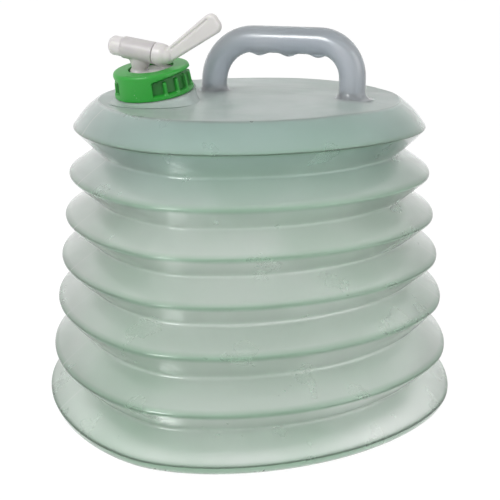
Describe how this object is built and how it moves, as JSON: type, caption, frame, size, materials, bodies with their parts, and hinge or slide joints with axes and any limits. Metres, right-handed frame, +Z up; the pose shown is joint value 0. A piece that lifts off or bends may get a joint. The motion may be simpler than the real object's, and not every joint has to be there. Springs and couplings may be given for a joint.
{
  "type": "collapsible water container",
  "caption": "Collapsible accordion-walled water container with a hollow carrying handle, a leaning screw-on cap and a lever tap.",
  "frame": {"origin": "on the ground below the middle of the body", "axes": "+Z up; X in the plane of the handle, with the cap on the -X, -Y side of it; +Y across the handle, along the longer side of the body"},
  "size_m": [0.2938, 0.3172, 0.2662],
  "materials": {
    "body_ldpe": "translucent, waxy",
    "handle_ldpe": "translucent, glossy",
    "washer_rubber": "matte",
    "ring_plastic": "satin",
    "tap_plastic": "milky",
    "key_plastic": "satin"
  },
  "bodies": {
    "base": {"base_pan": "body_ldpe", "flank_01": "body_ldpe"},
    "fold_02": {"flank_02": "body_ldpe"},
    "fold_03": {"flank_03": "body_ldpe"},
    "fold_04": {"flank_04": "body_ldpe"},
    "fold_05": {"flank_05": "body_ldpe"},
    "fold_06": {"flank_06": "body_ldpe"},
    "fold_07": {"flank_07": "body_ldpe"},
    "fold_08": {"flank_08": "body_ldpe"},
    "fold_09": {"flank_09": "body_ldpe"},
    "fold_10": {"flank_10": "body_ldpe"},
    "fold_11": {"flank_11": "body_ldpe"},
    "fold_12": {"flank_12": "body_ldpe"},
    "top": {"shoulder": "body_ldpe", "top_panel": "body_ldpe", "neck": "body_ldpe", "handle": "handle_ldpe"},
    "washer": {"sealing_washer": "washer_rubber"},
    "tap": {"tap_body": "tap_plastic"},
    "ring": {"screw_ring": "ring_plastic"},
    "key": {"tap_key": "key_plastic", "spout": "key_plastic"}
  },
  "joints": [
    {"name": "bellows_collapse", "type": "slide", "parent": "base", "child": "top", "axis": [0, 0, 1], "range_m": [-0.143, 0], "deforming": ["flank_01", "flank_02", "flank_03", "flank_04", "flank_05", "flank_06", "flank_07", "flank_08", "flank_09", "flank_10", "flank_11", "flank_12"]},
    {"name": "fold_02_slide", "type": "slide", "parent": "base", "child": "fold_02", "axis": [0, 0, 1], "range_m": [-0.0114, 0]},
    {"name": "fold_03_slide", "type": "slide", "parent": "base", "child": "fold_03", "axis": [0, 0, 1], "range_m": [-0.0245, 0]},
    {"name": "fold_04_slide", "type": "slide", "parent": "base", "child": "fold_04", "axis": [0, 0, 1], "range_m": [-0.037, 0]},
    {"name": "fold_05_slide", "type": "slide", "parent": "base", "child": "fold_05", "axis": [0, 0, 1], "range_m": [-0.0517, 0]},
    {"name": "fold_06_slide", "type": "slide", "parent": "base", "child": "fold_06", "axis": [0, 0, 1], "range_m": [-0.0623, 0]},
    {"name": "fold_07_slide", "type": "slide", "parent": "base", "child": "fold_07", "axis": [0, 0, 1], "range_m": [-0.0748, 0]},
    {"name": "fold_08_slide", "type": "slide", "parent": "base", "child": "fold_08", "axis": [0, 0, 1], "range_m": [-0.0848, 0]},
    {"name": "fold_09_slide", "type": "slide", "parent": "base", "child": "fold_09", "axis": [0, 0, 1], "range_m": [-0.0966, 0]},
    {"name": "fold_10_slide", "type": "slide", "parent": "base", "child": "fold_10", "axis": [0, 0, 1], "range_m": [-0.1068, 0]},
    {"name": "fold_11_slide", "type": "slide", "parent": "base", "child": "fold_11", "axis": [0, 0, 1], "range_m": [-0.1188, 0]},
    {"name": "fold_12_slide", "type": "slide", "parent": "base", "child": "fold_12", "axis": [0, 0, 1], "range_m": [-0.13, 0]},
    {"name": "tap_lift", "type": "slide", "parent": "top", "child": "washer", "axis": [-0.0495, -0.1782, 0.9827], "range_m": [0, 0.06]},
    {"name": "cap_rise", "type": "slide", "parent": "washer", "child": "tap", "axis": [-0.0495, -0.1782, 0.9827], "range_m": [0, 0.006]},
    {"name": "ring_turn", "type": "hinge", "parent": "tap", "child": "ring", "pos_m": [-0.0449, -0.0507, 0.2147], "axis": [-0.0495, -0.1782, 0.9827], "range_deg": [0, 720]},
    {"name": "tap_turn", "type": "hinge", "parent": "tap", "child": "key", "pos_m": [-0.05232, -0.05557, 0.24157], "axis": [0.99, 0.0252, -0.139], "range_deg": [0, 90]}
  ],
  "couplings": [
    {"joint": "fold_02_slide", "follows": "bellows_collapse", "ratio": 0.078463},
    {"joint": "fold_03_slide", "follows": "bellows_collapse", "ratio": 0.17057},
    {"joint": "fold_04_slide", "follows": "bellows_collapse", "ratio": 0.25781},
    {"joint": "fold_05_slide", "follows": "bellows_collapse", "ratio": 0.36022},
    {"joint": "fold_06_slide", "follows": "bellows_collapse", "ratio": 0.43467},
    {"joint": "fold_07_slide", "follows": "bellows_collapse", "ratio": 0.52207},
    {"joint": "fold_08_slide", "follows": "bellows_collapse", "ratio": 0.59226},
    {"joint": "fold_09_slide", "follows": "bellows_collapse", "ratio": 0.67466},
    {"joint": "fold_10_slide", "follows": "bellows_collapse", "ratio": 0.74585},
    {"joint": "fold_11_slide", "follows": "bellows_collapse", "ratio": 0.82943},
    {"joint": "fold_12_slide", "follows": "bellows_collapse", "ratio": 0.90789},
    {"joint": "cap_rise", "follows": "ring_turn", "m_per_rad": 0.00047746}
  ]
}
